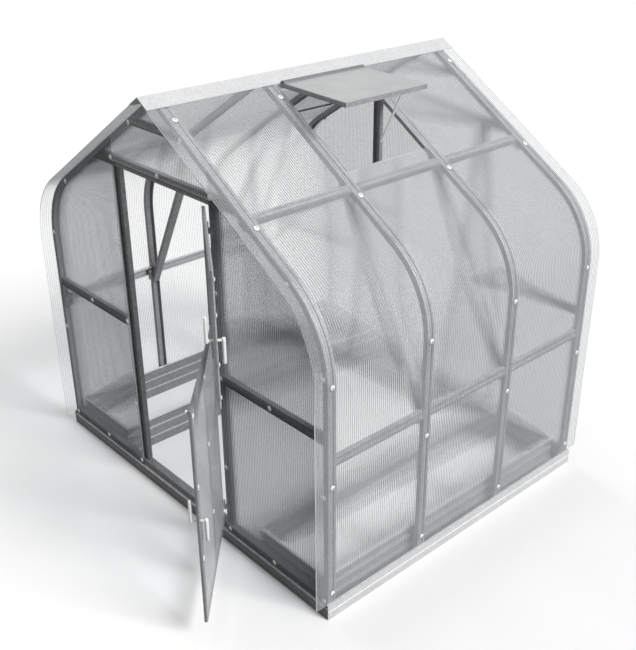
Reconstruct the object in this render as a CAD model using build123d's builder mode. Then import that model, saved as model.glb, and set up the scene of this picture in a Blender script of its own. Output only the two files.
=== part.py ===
"""Greenhouse of twin-wall sheet on folded steel arches, with a split door, a roof vent and two beds.

Millimetres. Origin on the ground under the middle of the doorway, +Z up, front towards -Y.
"""
import os
from math import cos, hypot, radians, sin, tan

from build123d import *

os.makedirs("parts", exist_ok=True)

# Building envelope
half_width = 1207.0  # middle of the building to the outer face of a side sheet
apex_height = 2340.0  # where the outer faces of the two roof slopes would meet
roof_pitch = 32.4  # degrees
eave_radius = 500.0  # outer face of the bent side sheet
bay_pitch = 632.0  # arch to arch
bay_count = 3
sheet_thick = 6.0
sheet_gap = 1.0  # between sheets that meet edge to edge
sheet_overhang = 77.0  # side sheets and ridge cap past the end arches

# Folded steel section of arches, posts, rails and purlins
steel = 3.0
frame_depth = 28.0
arch_width = 50.0
groove_width = 20.0
groove_depth = 5.0

# Sills
sill_proud = 10.0  # outer face of a side sill past the side sheet
end_sill_proud = 8.0  # outer face of an end sill past the gable sheet
side_ledge_height = 88.0  # foot of the side sheets
end_ledge_height = 65.0  # foot of the gable sheets
end_sill_height = 106.0  # doorway threshold
end_sill_depth = 45.0  # threshold plate, inwards from the gable frame
sill_foot = 57.0  # width of the flange on the ground
bead_height = 12.0
bead_rise = 4.0
side_bead_height = 46.0
end_bead_height = 34.0
corner_gap = 2.0

# Gable frames
doorway_half = 385.0
post_width = 59.0
post_setback = 13.0  # front face of the posts behind the gable plane
post_cover = 27.0  # width of post left bare beside the doorway
header_drop = 428.0  # underside of the header below the apex
header_width = 54.0
rail_share = 0.78  # height of the side rails, of the upright wall
rail_width = 50.0
collar_drop = 162.0  # middle of the collar below the apex
collar_width = 36.0

# Purlins and braces
purlin_width = 46.0
roof_purlin_share = 0.557  # across from the ridge, of the half width
wall_purlin_share = 0.687  # of the upright wall
brace_foot_drop = 54.0  # below the middle of the wall purlin
brace_head_share = 0.497  # across from the ridge, of the half width
brace_width = 46.0
brace_depth = 26.0

# Ridge cap
cap_reach = 74.0

# Split door
hinge_proud = 6.0  # hinge axis in front of the leaf's sheet
hinge_gap = 7.0  # hinge axis to the edge of a leaf
leaf_width = 746.0
leaf_clear = 6.0  # under the header and over the threshold
leaf_split_share = 0.648  # of the height of the doorway
leaf_split_gap = 8.0
stile_width = 40.0
middle_stile_reach = 358.0  # middle of the inner stile, from the hinge axis
leaf_frame_depth = 10.0
lower_open_angle = 137.0
upper_open_angle = 146.5
barrel_radius = 5.0
barrel_length = 30.0
barrel_gap = 0.5
strap_length = 70.0
strap_thick = 3.0
hinge_inset = 110.0  # first and last hinge from the ends of a leaf

# Turning latch of a leaf
spindle_radius = 6.0
spindle_clear = 0.3
latch_arm_length = 110.0
latch_arm_width = 16.0
latch_arm_thick = 8.0
latch_stand_off = 22.0  # arm clear of the leaf's faces

# Roof vent
vent_top_reach = 105.0  # upper edge of the hole, across from the ridge
vent_foot_reach = 590.0
vent_hole_half = 285.0
vent_leaf_half = 281.0
vent_leaf_length = 480.0
vent_droop = 2.1  # degrees below level
vent_stile = 34.0
vent_depth = 18.0
vent_rod_radius = 6.0
vent_rod_reach = 88.0
vent_rod_seat = 0.3
stay_place = 101.0  # along the ridge from the middle of the vent
stay_width = 16.0
stay_thick = 5.0
stay_drop = 268.0
stay_lean = 137.0

# Planting beds
bed_wall_gap = 67.0  # outer side of a bed to the outer face of the side sheet
bed_width = 500.0
bed_length = 1790.0
bed_front = 49.0
bed_height = 195.0
bed_flange = 12.0
bed_rib_height = 12.0
bed_rib_rise = 4.0
bed_rib_shares = (0.33, 0.67)

# One overrun serves all cuts
overrun = 20.0

# Values that follow from the sizes above
slope = tan(radians(roof_pitch))
slope_cos = cos(radians(roof_pitch))
slope_sin = sin(radians(roof_pitch))
frame_length = bay_count * bay_pitch + arch_width
frame_middle = frame_length / 2
arch_places = [arch_width / 2 + i * bay_pitch for i in range(bay_count + 1)]
frame_inner = sheet_thick + frame_depth
wall_inner = half_width - frame_inner
bend_height = apex_height - half_width * slope - eave_radius * tan(radians(90 - roof_pitch) / 2)
header_foot = apex_height - header_drop
collar_height = apex_height - collar_drop
rail_height = rail_share * bend_height
roof_purlin_reach = roof_purlin_share * half_width
wall_purlin_height = wall_purlin_share * bend_height
brace_foot_height = wall_purlin_height - brace_foot_drop
brace_head_reach = brace_head_share * half_width
leaf_split_height = end_sill_height + leaf_split_share * (header_foot - end_sill_height)
bed_inner_reach = half_width - bed_wall_gap - bed_width
post_middle = doorway_half + post_width / 2
sheet_edge = doorway_half + post_cover


def save(builder, name):
    """Label a finished piece and write it."""
    builder.part.label = name
    export_step(builder.part, f"parts/{name}.step")


def roof_height(reach, depth):
    """Height of the roof slope at a reach from the ridge and a depth inside the sheet's outer face."""
    return apex_height - depth / slope_cos - reach * slope


def across(place):
    """Upright plane across the building; extruding from it runs towards the front."""
    return Plane.XZ.offset(-place)


def skin_edge(depth, foot, crown_reach):
    """Wall, bend and slope of the right side at a depth inside the sheet's outer face."""
    radius = eave_radius - depth
    bend_reach = half_width - eave_radius
    middle = radians(90 - roof_pitch) / 2
    return (
        (half_width - depth, foot),
        (half_width - depth, bend_height),
        (bend_reach + radius * cos(middle), bend_height + radius * sin(middle)),
        (bend_reach + radius * slope_sin, bend_height + radius * slope_cos),
        (crown_reach, roof_height(crown_reach, depth)),
    )


def band(place, outer_depth, inner_depth, foot, crown_reach, whole):
    """Sketch of the strip between two depths of the skin, on the right side or on both."""
    o = skin_edge(outer_depth, foot, crown_reach)
    i = skin_edge(inner_depth, foot, crown_reach)
    with BuildSketch(across(place)) as strip:
        with BuildLine():
            Line(o[0], o[1])
            ThreePointArc(o[1], o[2], o[3])
            Line(o[3], o[4])
            Line(o[4], i[4])
            Line(i[4], i[3])
            ThreePointArc(i[3], i[2], i[1])
            Line(i[1], i[0])
            Line(i[0], o[0])
        make_face()
        if whole:
            mirror(about=Plane.YZ)
    return strip.sketch


def gable_panel(place, inner_edge, whole):
    """Sketch of a gable sheet, from its foot up to the inside of the side sheet and the roof."""
    edge = skin_edge(sheet_thick + sheet_gap, end_ledge_height, inner_edge)
    with BuildSketch(across(place)) as panel:
        with BuildLine():
            Line(edge[0], edge[1])
            ThreePointArc(edge[1], edge[2], edge[3])
            Line(edge[3], edge[4])
            Line(edge[4], (inner_edge, end_ledge_height))
            Line((inner_edge, end_ledge_height), edge[0])
        make_face()
        if whole:
            mirror(about=Plane.YZ)
    return panel.sketch


def folded_section(plane, width):
    """Sketch of the folded section: two lips and a groove on the face, flanges inwards."""
    lip = width / 2
    groove = groove_width / 2
    floor = groove_depth + steel
    points = [
        (lip, frame_depth),
        (lip, 0),
        (groove, 0),
        (groove, groove_depth),
        (-groove, groove_depth),
        (-groove, 0),
        (-lip, 0),
        (-lip, frame_depth),
        (-lip + steel, frame_depth),
        (-lip + steel, steel),
        (-groove - steel, steel),
        (-groove - steel, floor),
        (groove + steel, floor),
        (groove + steel, steel),
        (lip - steel, steel),
        (lip - steel, frame_depth),
    ]
    with BuildSketch(plane) as section:
        with BuildLine():
            Polyline(*points, close=True)
        make_face()
    return section.sketch


# Sills along the sides, each with a ledge for the sheet and a flange for the arch feet
with BuildPart() as right_sill:
    face = half_width + sill_proud
    with BuildSketch(across(frame_length + sheet_thick + end_sill_proud)):
        with Locations((face, 0)):
            Rectangle(steel, side_ledge_height, align=(Align.MAX, Align.MIN))
        with Locations((face, side_ledge_height)):
            Rectangle(sill_proud + sheet_thick, steel, align=(Align.MAX, Align.MAX))
        with BuildLine():
            Polyline(
                (face - steel, side_bead_height - bead_height / 2),
                (face, side_bead_height - bead_height / 2),
                (face + bead_rise, side_bead_height),
                (face, side_bead_height + bead_height / 2),
                (face - steel, side_bead_height + bead_height / 2),
                close=True,
            )
        make_face()
    extrude(amount=frame_length + 2 * (sheet_thick + end_sill_proud))
    with BuildSketch(across(frame_length)):
        with Locations((face, 0)):
            Rectangle(sill_foot, steel, align=(Align.MAX, Align.MIN))
    extrude(amount=frame_length)
save(right_sill, "right_sill")

with BuildPart() as left_sill:
    mirror(right_sill.part, about=Plane.YZ)
save(left_sill, "left_sill")

# Sills across the ends; the front one is the threshold of the doorway
sill_face = -(sheet_thick + end_sill_proud)
corner_reach = half_width + sill_proud - steel
foot_reach = half_width + sill_proud - sill_foot - corner_gap
plate_reach = wall_inner - sheet_gap
with BuildPart() as front_sill:
    with BuildSketch(Plane.YZ):
        with Locations((sill_face, 0)):
            Rectangle(steel, end_ledge_height, align=(Align.MIN, Align.MIN))
        with Locations((sill_face, end_ledge_height)):
            Rectangle(-sill_face, steel, align=(Align.MIN, Align.MAX))
        with BuildLine():
            Polyline(
                (sill_face + steel, end_bead_height - bead_height / 2),
                (sill_face, end_bead_height - bead_height / 2),
                (sill_face - bead_rise, end_bead_height),
                (sill_face, end_bead_height + bead_height / 2),
                (sill_face + steel, end_bead_height + bead_height / 2),
                close=True,
            )
        make_face()
    extrude(amount=corner_reach, both=True)
    with BuildSketch(Plane.YZ):
        with Locations((sill_face, 0)):
            Rectangle(sill_foot, steel, align=(Align.MIN, Align.MIN))
    extrude(amount=foot_reach, both=True)
    with BuildSketch(Plane.YZ):
        with Locations((0, end_sill_height)):
            Rectangle(steel, end_sill_height - end_ledge_height + steel, align=(Align.MIN, Align.MAX))
            Rectangle(end_sill_depth, steel, align=(Align.MIN, Align.MAX))
        with Locations((end_sill_depth, end_sill_height)):
            Rectangle(steel, end_sill_height - end_ledge_height + steel, align=(Align.MAX, Align.MAX))
    extrude(amount=plate_reach, both=True)
save(front_sill, "front_sill")

with BuildPart() as back_sill:
    mirror(front_sill.part, about=across(frame_middle))
save(back_sill, "back_sill")

# Arches: one bent and folded section from sill to sill over the ridge
arch_names = ("front_arch", "second_arch", "third_arch", "back_arch")
lip_inner = arch_width - 2 * steel
groove_outer = groove_width + 2 * steel
for arch_name, place in zip(arch_names, arch_places):
    hollows = (
        (groove_width, sheet_thick, sheet_thick + groove_depth),
        (groove_outer, sheet_thick + groove_depth + steel, frame_inner + overrun),
    )
    with BuildPart() as arch:
        extrude(band(place + arch_width / 2, sheet_thick, frame_inner, steel, 0, True), amount=arch_width)
        for width, outer_depth, inner_depth in hollows:
            hollow = band(place + width / 2, outer_depth, inner_depth, 0, 0, True)
            extrude(hollow, amount=width, mode=Mode.SUBTRACT)
        for side in (-1, 1):
            near = place + side * groove_outer / 2
            far = place + side * lip_inner / 2
            hollow = band(max(near, far), sheet_thick + steel, frame_inner + overrun, 0, 0, True)
            extrude(hollow, amount=abs(far - near), mode=Mode.SUBTRACT)
    save(arch, arch_name)

# Purlins: a length in each bay, between the arches
bay_starts = [place + arch_width / 2 for place in arch_places[:-1]]
bay_clear = bay_pitch - arch_width
roof_down = (slope_cos, 0, -slope_sin)
with BuildPart() as right_roof_purlin:
    reach = roof_purlin_reach - sheet_thick * slope_sin
    height = roof_height(roof_purlin_reach, 0) - sheet_thick * slope_cos
    for start in bay_starts:
        seat = Plane(origin=(reach, start, height), x_dir=roof_down, z_dir=(0, 1, 0))
        extrude(folded_section(seat, purlin_width), amount=bay_clear)
save(right_roof_purlin, "right_roof_purlin")

with BuildPart() as right_wall_purlin:
    for start in bay_starts:
        origin = (half_width - sheet_thick, start, wall_purlin_height)
        seat = Plane(origin=origin, x_dir=(0, 0, -1), z_dir=(0, 1, 0))
        extrude(folded_section(seat, purlin_width), amount=bay_clear)
save(right_wall_purlin, "right_wall_purlin")

with BuildPart() as left_roof_purlin:
    mirror(right_roof_purlin.part, about=Plane.YZ)
save(left_roof_purlin, "left_roof_purlin")

with BuildPart() as left_wall_purlin:
    mirror(right_wall_purlin.part, about=Plane.YZ)
save(left_wall_purlin, "left_wall_purlin")

# Knee braces of the middle arches, cut to lie against wall and slope
brace_head_height = roof_height(brace_head_reach, frame_inner)
brace_run = brace_head_reach - wall_inner
brace_climb = brace_head_height - brace_foot_height
brace_long = hypot(brace_run, brace_climb)
brace_way = (brace_run / brace_long, brace_climb / brace_long)
brace_side = (-brace_way[1], brace_way[0])


def brace_foot_point(offset):
    """Point of a brace edge on the inner line of the wall."""
    travel = -offset * brace_side[0] / brace_way[0]
    return (wall_inner, brace_foot_height + offset * brace_side[1] + travel * brace_way[1])


def brace_head_point(offset):
    """Point of a brace edge on the inner line of the slope."""
    x = brace_head_reach + offset * brace_side[0]
    z = brace_head_height + offset * brace_side[1]
    travel = (roof_height(x, frame_inner) - z) / (brace_way[1] + brace_way[0] * slope)
    return (x + travel * brace_way[0], z + travel * brace_way[1])


with BuildPart() as right_braces:
    for place in arch_places[1:-1]:
        with BuildSketch(across(place + brace_width / 2)):
            with BuildLine():
                Polyline(
                    brace_foot_point(brace_depth / 2),
                    brace_head_point(brace_depth / 2),
                    brace_head_point(-brace_depth / 2),
                    brace_foot_point(-brace_depth / 2),
                    close=True,
                )
            make_face()
        extrude(amount=brace_width)
save(right_braces, "right_braces")

with BuildPart() as left_braces:
    mirror(right_braces.part, about=Plane.YZ)
save(left_braces, "left_braces")

# Front gable frame: posts, header, side rails and the collar under the ridge
post_length = header_foot - end_sill_height
with BuildPart() as front_right_post:
    seat = Plane(origin=(post_middle, post_setback, end_sill_height), x_dir=(1, 0, 0), z_dir=(0, 0, 1))
    extrude(folded_section(seat, post_width), amount=post_length)
save(front_right_post, "front_right_post")

with BuildPart() as front_left_post:
    mirror(front_right_post.part, about=Plane.YZ)
save(front_left_post, "front_left_post")


def cross_rail(middle_height, width):
    """Rail across the front gable with its ends cut along the arch."""
    reach = (roof_height(0, frame_inner) - middle_height + width / 2) / slope
    seat = Plane(origin=(reach, 0, middle_height), x_dir=(0, 0, 1), z_dir=(-1, 0, 0))
    crown = (0, 0, roof_height(0, frame_inner))
    with BuildPart() as rail:
        extrude(folded_section(seat, width), amount=2 * reach)
        for side in (-1, 1):
            cut = Plane(origin=crown, x_dir=(0, 1, 0), z_dir=(side * slope_sin, 0, slope_cos))
            split(bisect_by=cut, keep=Keep.BOTTOM)
    return rail


front_header = cross_rail(header_foot + header_width / 2, header_width)
save(front_header, "front_header")

front_collar = cross_rail(collar_height, collar_width)
save(front_collar, "front_collar")

with BuildPart() as front_side_rails:
    seat = Plane(origin=(wall_inner, 0, rail_height), x_dir=(0, 0, 1), z_dir=(-1, 0, 0))
    extrude(folded_section(seat, rail_width), amount=wall_inner - doorway_half - post_width)
    mirror(about=Plane.YZ)
save(front_side_rails, "front_side_rails")

# Back gable frame, the same pieces turned about the middle of the building
with BuildPart() as back_posts:
    mirror(front_right_post.part, about=across(frame_middle))
    mirror(front_left_post.part, about=across(frame_middle))
save(back_posts, "back_posts")

with BuildPart() as back_header:
    mirror(front_header.part, about=across(frame_middle))
save(back_header, "back_header")

with BuildPart() as back_collar:
    mirror(front_collar.part, about=across(frame_middle))
save(back_collar, "back_collar")

with BuildPart() as back_side_rails:
    mirror(front_side_rails.part, about=across(frame_middle))
save(back_side_rails, "back_side_rails")

# Side sheets, bent over the eaves; the right one has the hole for the vent
sheet_length = frame_length + 2 * sheet_overhang
sheet_back = frame_length + sheet_overhang
with BuildPart() as left_side_sheet:
    extrude(band(sheet_back, 0, sheet_thick, side_ledge_height, sheet_gap, False), amount=sheet_length)
    mirror(about=Plane.YZ, mode=Mode.REPLACE)
save(left_side_sheet, "left_side_sheet")

with BuildPart() as right_side_sheet:
    extrude(band(sheet_back, 0, sheet_thick, side_ledge_height, sheet_gap, False), amount=sheet_length)
    with BuildSketch(Plane.XY.offset(apex_height)):
        with Locations((vent_top_reach, frame_middle)):
            Rectangle(vent_foot_reach - vent_top_reach, 2 * vent_hole_half, align=(Align.MIN, Align.CENTER))
    extrude(amount=-(apex_height - bend_height), mode=Mode.SUBTRACT)
save(right_side_sheet, "right_side_sheet")

# Gable sheets: one beside each post, one over the doorway, one whole sheet at the back
with BuildPart() as front_right_sheet:
    extrude(gable_panel(0, sheet_edge, False), amount=sheet_thick)
save(front_right_sheet, "front_right_sheet")

with BuildPart() as front_left_sheet:
    mirror(front_right_sheet.part, about=Plane.YZ)
save(front_left_sheet, "front_left_sheet")

with BuildPart() as front_top_sheet:
    top_edge = sheet_edge - sheet_gap
    top_depth = sheet_thick + sheet_gap
    with BuildSketch(across(0)):
        with BuildLine():
            Polyline(
                (-top_edge, header_foot + header_width / 2),
                (top_edge, header_foot + header_width / 2),
                (top_edge, roof_height(top_edge, top_depth)),
                (0, roof_height(0, top_depth)),
                (-top_edge, roof_height(top_edge, top_depth)),
                close=True,
            )
        make_face()
    extrude(amount=sheet_thick)
save(front_top_sheet, "front_top_sheet")

with BuildPart() as back_sheet:
    extrude(gable_panel(frame_length + sheet_thick, 0, True), amount=sheet_thick)
save(back_sheet, "back_sheet")

# Ridge cap: a folded angle lying on both slopes
with BuildPart() as ridge_cap:
    with BuildSketch(across(sheet_back)):
        with BuildLine():
            Polyline(
                (0, roof_height(0, 0)),
                (cap_reach, roof_height(cap_reach, 0)),
                (cap_reach, roof_height(cap_reach, -steel)),
                (0, roof_height(0, -steel)),
                close=True,
            )
        make_face()
        mirror(about=Plane.YZ)
    extrude(amount=sheet_length)
save(ridge_cap, "ridge_cap")

# Split door: each leaf stands open about the hinge axis at the right post
axis_place = post_setback - (sheet_thick + hinge_proud)
lower_foot = end_sill_height + leaf_clear
lower_head = leaf_split_height - leaf_split_gap / 2
upper_foot = leaf_split_height + leaf_split_gap / 2
upper_head = header_foot - leaf_clear
leaf_outer = hinge_proud
leaf_back = hinge_proud + sheet_thick
leaf_inner = leaf_back + leaf_frame_depth
latch_reach = hinge_gap + leaf_width - stile_width / 2
leaves = (
    ("lower", lower_foot, lower_head, lower_open_angle),
    ("upper", upper_foot, upper_head, upper_open_angle),
)
hinge_heights = []


def leaf_plane(angle, foot):
    """Plane of a leaf: along it from the hinge axis, up, and inwards through its thickness."""
    turn = radians(angle)
    along = (-cos(turn), -sin(turn), 0)
    inwards = (-sin(turn), cos(turn), 0)
    return Plane(origin=(doorway_half, axis_place, foot), x_dir=along, z_dir=inwards)


for leaf_name, foot, head, angle in leaves:
    tall = head - foot
    plane = leaf_plane(angle, foot)
    middle = (hinge_gap + leaf_width / 2, tall / 2)
    straps = (hinge_inset, tall - hinge_inset)
    hinge_heights += [foot + strap for strap in straps]
    inner_size = (leaf_width - 2 * stile_width, tall - 2 * stile_width)

    # Frame of folded channel, open towards the inside
    with BuildPart() as leaf_frame:
        with BuildSketch(plane.offset(leaf_back)):
            with Locations(middle):
                Rectangle(leaf_width, tall)
                Rectangle(*inner_size, mode=Mode.SUBTRACT)
        extrude(amount=leaf_frame_depth)
        with BuildSketch(plane.offset(leaf_back + steel)):
            with Locations(middle):
                Rectangle(leaf_width - 2 * steel, tall - 2 * steel)
                Rectangle(inner_size[0] + 2 * steel, inner_size[1] + 2 * steel, mode=Mode.SUBTRACT)
        extrude(amount=leaf_frame_depth, mode=Mode.SUBTRACT)
        with BuildSketch(plane.offset(leaf_back)):
            with Locations((middle_stile_reach, tall / 2)):
                Rectangle(stile_width, inner_size[1])
        extrude(amount=leaf_frame_depth)
        with BuildSketch(plane.offset(leaf_back + steel)):
            with Locations((middle_stile_reach, tall / 2)):
                Rectangle(stile_width - 2 * steel, inner_size[1])
        extrude(amount=leaf_frame_depth, mode=Mode.SUBTRACT)
        with BuildSketch(plane.offset(leaf_back)):
            with Locations((latch_reach, tall / 2)):
                Circle(spindle_radius + spindle_clear)
        extrude(amount=leaf_frame_depth, mode=Mode.SUBTRACT)
    save(leaf_frame, f"{leaf_name}_leaf_frame")

    with BuildPart() as leaf_sheet:
        with BuildSketch(plane.offset(leaf_outer)):
            with Locations(middle):
                Rectangle(leaf_width, tall)
            with Locations((latch_reach, tall / 2)):
                Circle(spindle_radius + spindle_clear, mode=Mode.SUBTRACT)
        extrude(amount=sheet_thick)
    save(leaf_sheet, f"{leaf_name}_leaf_sheet")

    # Lift-off hinge straps with the upper half of each barrel
    with BuildPart() as leaf_hinges:
        for strap in straps:
            with BuildSketch(plane.offset(leaf_outer - strap_thick)):
                with Locations((0, strap + barrel_gap)):
                    Rectangle(strap_length, barrel_length, align=(Align.MIN, Align.MIN))
            extrude(amount=strap_thick)
            with BuildSketch(Plane.XY.offset(foot + strap + barrel_gap)):
                with Locations((doorway_half, axis_place)):
                    Circle(barrel_radius)
            extrude(amount=barrel_length)
    save(leaf_hinges, f"{leaf_name}_leaf_hinges")

    # Turning latch: outer arm down, spindle through the stile, inner arm up
    with BuildPart() as latch:
        spindle_start = leaf_outer - latch_stand_off - latch_arm_thick
        spindle_end = leaf_inner + latch_stand_off + latch_arm_thick
        with BuildSketch(plane.offset(spindle_start)):
            with Locations((latch_reach, tall / 2)):
                Circle(spindle_radius)
        extrude(amount=spindle_end - spindle_start)
        for start, way in ((spindle_start, -1), (spindle_end - latch_arm_thick, 1)):
            far = tall / 2 + way * latch_arm_length
            near = tall / 2 - way * latch_arm_width / 2
            with BuildSketch(plane.offset(start)):
                with Locations((latch_reach, (near + far) / 2)):
                    RectangleRounded(latch_arm_width, abs(far - near), latch_arm_width / 2 - steel)
            extrude(amount=latch_arm_thick)
    save(latch, f"{leaf_name}_latch")

# Lower halves of the hinge barrels, with wings on the right post
with BuildPart() as door_hinge_pins:
    for height in hinge_heights:
        with BuildSketch(Plane.XY.offset(height - barrel_length)):
            with Locations((doorway_half, axis_place)):
                Circle(barrel_radius)
                Rectangle(barrel_radius, post_setback - axis_place, align=(Align.MIN, Align.MIN))
            with Locations((doorway_half, post_setback)):
                Rectangle(post_cover - sheet_gap, strap_thick, align=(Align.MIN, Align.MAX))
        extrude(amount=barrel_length)
save(door_hinge_pins, "door_hinge_pins")

# Roof vent, held open under the ridge cap by a rod and a hanging stay
droop = radians(vent_droop)
rod_rise = vent_rod_radius + vent_rod_seat
rod_reach = vent_rod_reach + rod_rise * slope_sin
rod_height = roof_height(vent_rod_reach, 0) + rod_rise * slope_cos
vent_way = (cos(droop), 0, -sin(droop))
vent_up = (sin(droop), 0, cos(droop))
vent_plane = Plane(origin=(rod_reach, frame_middle, rod_height), x_dir=vent_way, z_dir=vent_up)
vent_foot = -vent_rod_radius
vent_middle = (rod_rise + vent_leaf_length / 2, 0)
vent_inner = (vent_leaf_length - 2 * vent_stile, 2 * (vent_leaf_half - vent_stile))

with BuildPart() as vent_hinge:
    with BuildSketch(across(frame_middle + vent_leaf_half)):
        with Locations((rod_reach, rod_height)):
            Circle(vent_rod_radius)
    extrude(amount=2 * vent_leaf_half)
save(vent_hinge, "vent_hinge")

with BuildPart() as vent_frame:
    with BuildSketch(vent_plane.offset(vent_foot)):
        with Locations(vent_middle):
            Rectangle(vent_leaf_length, 2 * vent_leaf_half)
            Rectangle(*vent_inner, mode=Mode.SUBTRACT)
    extrude(amount=vent_depth)
    with BuildSketch(vent_plane.offset(vent_foot + vent_depth - steel)):
        with Locations(vent_middle):
            Rectangle(vent_leaf_length - 2 * steel, 2 * (vent_leaf_half - steel))
            Rectangle(vent_inner[0] + 2 * steel, vent_inner[1] + 2 * steel, mode=Mode.SUBTRACT)
    extrude(amount=-vent_depth, mode=Mode.SUBTRACT)
save(vent_frame, "vent_frame")

with BuildPart() as vent_sheet:
    with BuildSketch(vent_plane.offset(vent_foot + vent_depth)):
        with Locations(vent_middle):
            Rectangle(vent_leaf_length, 2 * vent_leaf_half)
    extrude(amount=sheet_thick)
save(vent_sheet, "vent_sheet")

stay_top = rod_rise + vent_leaf_length - steel / 2
stay_reach = rod_reach + stay_top * cos(droop) + vent_foot * sin(droop)
stay_height = rod_height - stay_top * sin(droop) + vent_foot * cos(droop)
with BuildPart() as vent_stay:
    with BuildSketch(across(frame_middle + stay_place + stay_width / 2)):
        with BuildLine():
            Polyline(
                (stay_reach, stay_height),
                (stay_reach - stay_thick, stay_height + stay_thick * tan(droop)),
                (stay_reach - stay_thick - stay_lean, stay_height - stay_drop),
                (stay_reach - stay_lean, stay_height - stay_drop),
                close=True,
            )
        make_face()
    extrude(amount=stay_width)
save(vent_stay, "vent_stay")

# Planting beds: open sheet steel boxes with ribs and a rolled flange
with BuildPart() as right_bed:
    bed_place = (bed_inner_reach + bed_width / 2, bed_front + bed_length / 2)
    with BuildSketch():
        with Locations(bed_place):
            Rectangle(bed_width, bed_length)
    extrude(amount=bed_height)
    for share in bed_rib_shares:
        with BuildSketch(Plane.XY.offset(share * bed_height - bed_rib_height / 2)):
            with Locations(bed_place):
                Rectangle(bed_width + 2 * bed_rib_rise, bed_length + 2 * bed_rib_rise)
        extrude(amount=bed_rib_height)
    with BuildSketch(Plane.XY.offset(bed_height - steel)):
        with Locations(bed_place):
            Rectangle(bed_width + 2 * bed_flange, bed_length + 2 * bed_flange)
    extrude(amount=steel)
    with BuildSketch():
        with Locations(bed_place):
            Rectangle(bed_width - 2 * steel, bed_length - 2 * steel)
    extrude(amount=bed_height + overrun, mode=Mode.SUBTRACT)
save(right_bed, "right_bed")

with BuildPart() as left_bed:
    mirror(right_bed.part, about=Plane.YZ)
save(left_bed, "left_bed")
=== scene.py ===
"""Looks of the greenhouse: galvanised steel, clear fluted sheet, washers, hinges and latches."""
import math

import bmesh
import bpy
from mathutils import Matrix, Vector


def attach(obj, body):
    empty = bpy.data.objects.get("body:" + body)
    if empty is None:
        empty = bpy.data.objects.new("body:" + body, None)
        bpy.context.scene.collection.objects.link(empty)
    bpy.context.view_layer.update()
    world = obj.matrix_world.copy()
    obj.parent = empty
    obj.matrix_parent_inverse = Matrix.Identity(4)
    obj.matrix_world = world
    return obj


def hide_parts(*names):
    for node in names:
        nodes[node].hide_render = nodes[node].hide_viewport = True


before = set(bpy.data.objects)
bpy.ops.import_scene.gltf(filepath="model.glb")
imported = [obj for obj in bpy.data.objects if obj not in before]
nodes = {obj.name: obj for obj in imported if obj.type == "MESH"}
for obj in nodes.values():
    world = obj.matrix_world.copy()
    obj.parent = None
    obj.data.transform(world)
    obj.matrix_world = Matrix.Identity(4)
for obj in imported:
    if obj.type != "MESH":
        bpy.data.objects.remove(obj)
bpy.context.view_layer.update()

# Sizes shared with the solids, in metres
HALF_WIDTH = 1.207
APEX = 2.340
PITCH = math.radians(32.4)
SLOPE = math.tan(PITCH)
EAVE_RADIUS = 0.500
EAVE_TURN = math.pi / 2 - PITCH
BEND_HEIGHT = APEX - HALF_WIDTH * SLOPE - EAVE_RADIUS * math.tan(EAVE_TURN / 2)
BEND_REACH = HALF_WIDTH - EAVE_RADIUS
SHEET = 0.006
FRAME_LENGTH = 1.946
FRAME_MIDDLE = FRAME_LENGTH / 2
FRAME_DEPTH = 0.028
ARCH_WIDTH = 0.050
ARCH_PITCH = 0.632
ARCHES = [ARCH_WIDTH / 2 + ARCH_PITCH * i for i in range(4)]
OVERHANG = 0.077
SIDE_FOOT = 0.088
END_FOOT = 0.065
SHEET_EDGE = 0.412
HEADER_MIDDLE = 1.939
PURLIN_REACH = 0.672
VENT_TOP = 0.105
VENT_FOOT = 0.590
VENT_HALF = 0.285
VENT_ROD = Vector((0.0914, FRAME_MIDDLE, 2.2895))
VENT_DROOP = math.radians(2.1)
POST_FACE = 0.010
WING_MIDDLE = 0.400
HINGE = Vector((0.385, 0.001, 0.0))
HINGE_GAP = 0.007
LEAF_WIDTH = 0.746
LEAF_OUTER = 0.006
LEAF_INNER = 0.022
LEAF_BAR = 0.358
LATCH_REACH = 0.733

# Foot, head and opening angle of each door leaf
LEAVES = {
    "lower": (0.112, 1.272288, math.radians(137.0)),
    "upper": (1.280288, 1.906, math.radians(146.5)),
}

# Flutes between the two skins of a sheet, and how far their ribs keep from its edges
FLUTE_PITCH = 0.0131
FLUTE_LEAN = 0.30
RIB_THICK = 0.0005
RIB_INSET = 0.0005
RIB_STEPS = 12
RIB_CROWN = 0.004
END_GAP = 0.002
HOLE_GAP = 0.006
WALL_GAP = 0.004
TOP_GAP = 0.003
LEAF_GAP = 0.008
ROUNDING = 1e-6

# Steps round the bend of a side sheet and its gap at the ridge
SHELL_STEPS = 24
SHELL_CROWN = 0.001

# Screws: dished washers on the sheets and bolts in the frame
WASHER_SIZES = {"Washer radius": 0.0135, "Washer height": 0.0032, "Head radius": 0.0050, "Head height": 0.0024}
BOLT_SIZES = {"Washer radius": 0.0065, "Washer height": 0.0012, "Head radius": 0.0045, "Head height": 0.0030}
DISH_SIDES = 18
DISH_RIM = 0.62
HEAD_SIDES = 6

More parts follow.
